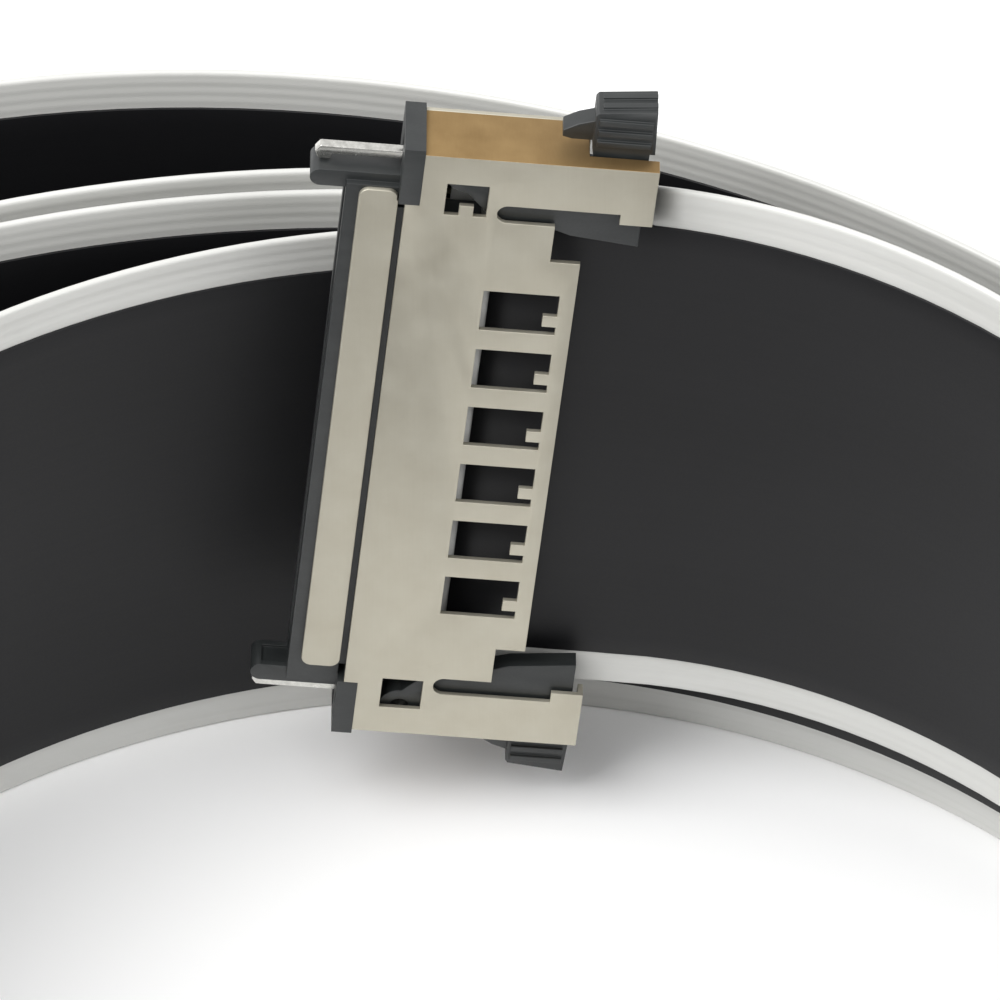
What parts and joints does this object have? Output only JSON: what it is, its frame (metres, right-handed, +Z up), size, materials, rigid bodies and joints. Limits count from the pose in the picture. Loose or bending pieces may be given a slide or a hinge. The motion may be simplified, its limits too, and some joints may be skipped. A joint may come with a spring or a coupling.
{
  "type": "shielded flat flex cable",
  "caption": "Coiled white flat flex cable with black shield films, a metal-shelled latching plug on its inner end and a bare stiffened outer end.",
  "frame": {"origin": "middle of the coil's footprint, on the surface that it stands on", "axes": "+Z up, across the cable's width; +X along the footprint's longer side; the plug stands at the +Y side of the coil"},
  "size_m": [0.0838, 0.0815, 0.0363],
  "materials": {
    "cable_laminate": "satin white polyester laminate",
    "shield_film": "satin black shielding film",
    "stiffener": "blue polyester stiffener",
    "contact_metal": "bright tin over copper alloy",
    "housing_black": "moulded, fine grain",
    "shell_metal": "warm matt tin plating on sheet",
    "latch_metal": "bright plated steel"
  },
  "bodies": {
    "cable_and_plug": {"cable_film": "cable_laminate", "shield_inner": "shield_film", "shield_outer": "shield_film", "end_stiffener": "stiffener", "end_contacts": "contact_metal", "plug_housing": "housing_black", "plug_contacts": "contact_metal", "front_shell": "shell_metal", "back_shell": "shell_metal", "nose_plate": "shell_metal", "pivot_pin_upper": "latch_metal", "pivot_pin_lower": "latch_metal"},
    "latch_upper_body": {"latch_lever_upper": "housing_black", "lock_arm_upper": "latch_metal"},
    "latch_lower_body": {"latch_lever_lower": "housing_black", "lock_arm_lower": "latch_metal"}
  },
  "joints": [
    {"name": "latch_upper", "type": "hinge", "parent": "cable_and_plug", "child": "latch_upper_body", "pos_m": [0.00478, 0.0281, 0.03352], "axis": [0, 0.9994, -0.0349], "range_deg": [0, 5], "stiffness_Nm_per_rad": 0.09, "springref_deg": -2.86},
    {"name": "latch_lower", "type": "hinge", "parent": "cable_and_plug", "child": "latch_lower_body", "pos_m": [0.00196, 0.02713, 0.00578], "axis": [0, -0.9994, 0.0349], "range_deg": [0, 5], "stiffness_Nm_per_rad": 0.09, "springref_deg": -2.86}
  ]
}
